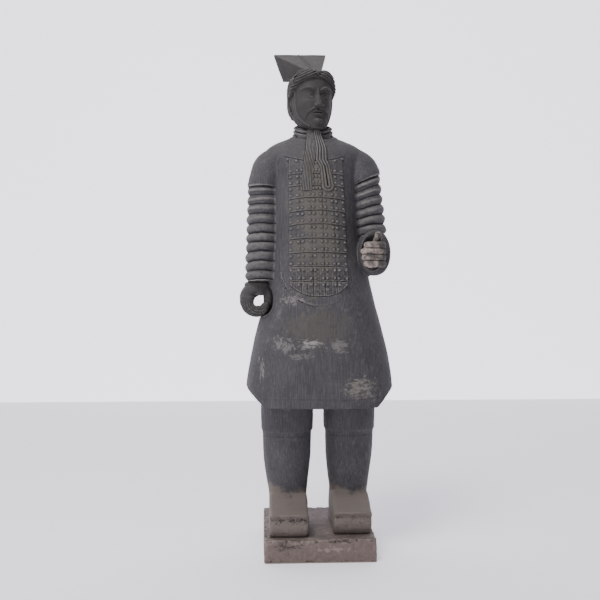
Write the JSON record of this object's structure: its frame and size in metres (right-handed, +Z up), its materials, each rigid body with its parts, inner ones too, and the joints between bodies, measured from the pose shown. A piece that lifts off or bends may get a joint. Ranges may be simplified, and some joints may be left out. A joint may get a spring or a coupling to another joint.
{
  "type": "terracotta warrior statue",
  "caption": "Standing armoured officer in blackened fired clay: plated vest, rolled sleeves, tasselled collar, raised cap, flared robe, bent left arm, on a low square slab.",
  "frame": {"origin": "middle of the slab's underside", "axes": "+Z up, the front of the robe faces -Y, and +X is the figure's own left"},
  "size_m": [0.5424, 0.4904, 1.8168],
  "materials": {
    "blackened_clay": "unglazed fired clay, smoke-blackened, with pale rubs and brown dust",
    "worn_clay": "unglazed fired clay, worn to its tan body",
    "dusty_clay": "unglazed fired clay, dusty and chipped"
  },
  "bodies": {
    "root": {"plinth": "dusty_clay", "body": "blackened_clay", "head": "blackened_clay", "right_hand": "blackened_clay", "left_hand": "worn_clay"}
  },
  "joints": []
}
